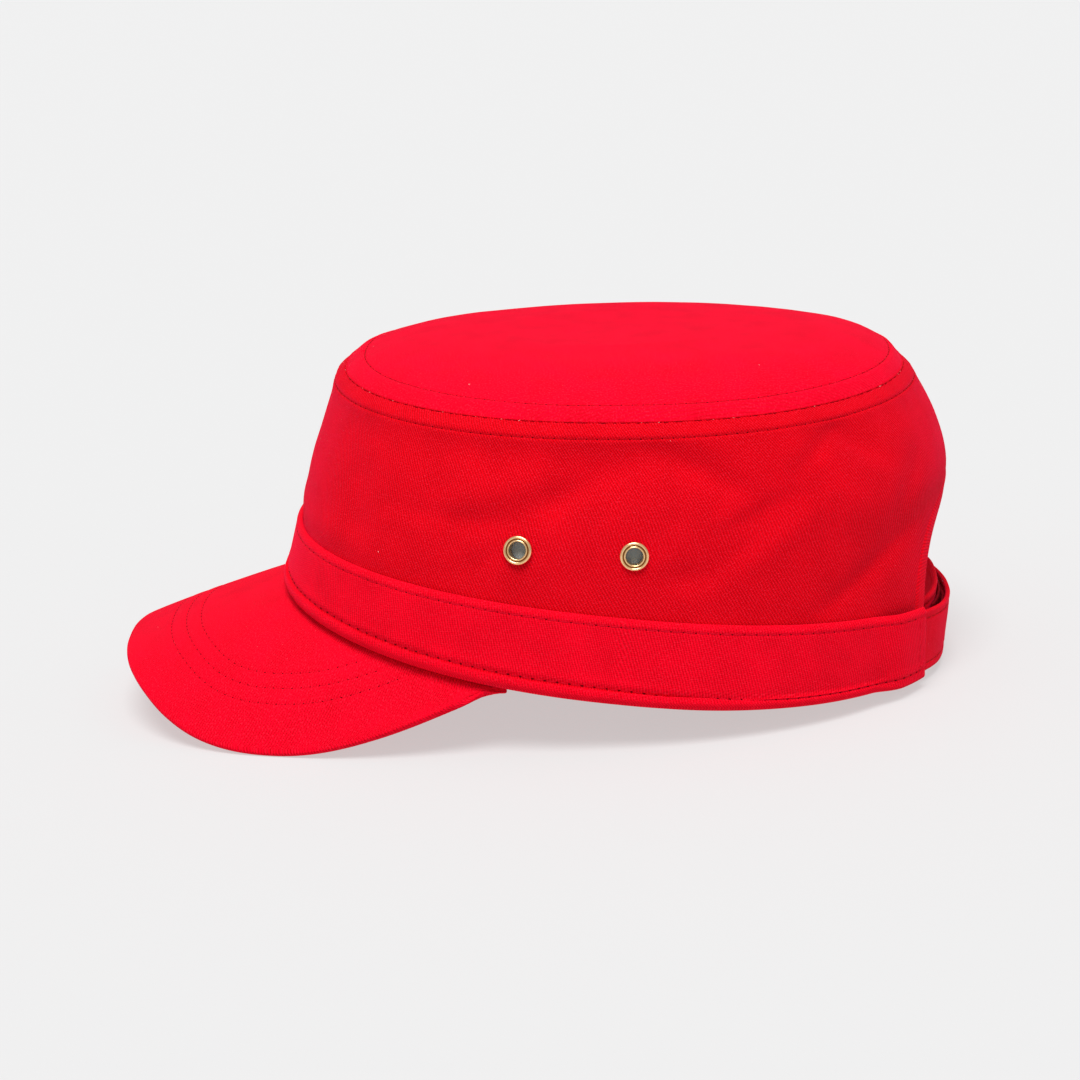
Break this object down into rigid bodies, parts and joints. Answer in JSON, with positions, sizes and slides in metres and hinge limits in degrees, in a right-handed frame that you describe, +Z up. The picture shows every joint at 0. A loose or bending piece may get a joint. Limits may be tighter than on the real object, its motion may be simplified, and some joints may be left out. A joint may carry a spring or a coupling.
{
  "type": "patrol cap",
  "caption": "Flat-topped patrol cap of red cotton twill with a wide stitched band, curved peak, brass eyelets and an adjustable strap across the back opening.",
  "frame": {"origin": "on the surface the cap rests on, under the middle of its bounding box", "axes": "+Z up, -Y out over the peak, +X to the wearer's left"},
  "size_m": [0.1684, 0.2563, 0.1092],
  "materials": {
    "twill": "matt saturated red cotton twill, fine diagonal rib, self-coloured stitching",
    "tape": "dark red hook-and-loop tape, fuzzy",
    "brass": "bright rolled brass"
  },
  "bodies": {
    "root": {"crown_top": "twill", "crown_side": "twill", "band": "twill", "peak": "twill", "strap_outer": "twill", "strap_inner": "twill", "hook_tape": "tape", "loop_tape": "tape", "eyelet_left_front": "brass", "eyelet_left_back": "brass", "eyelet_right_front": "brass", "eyelet_right_back": "brass"}
  },
  "joints": []
}
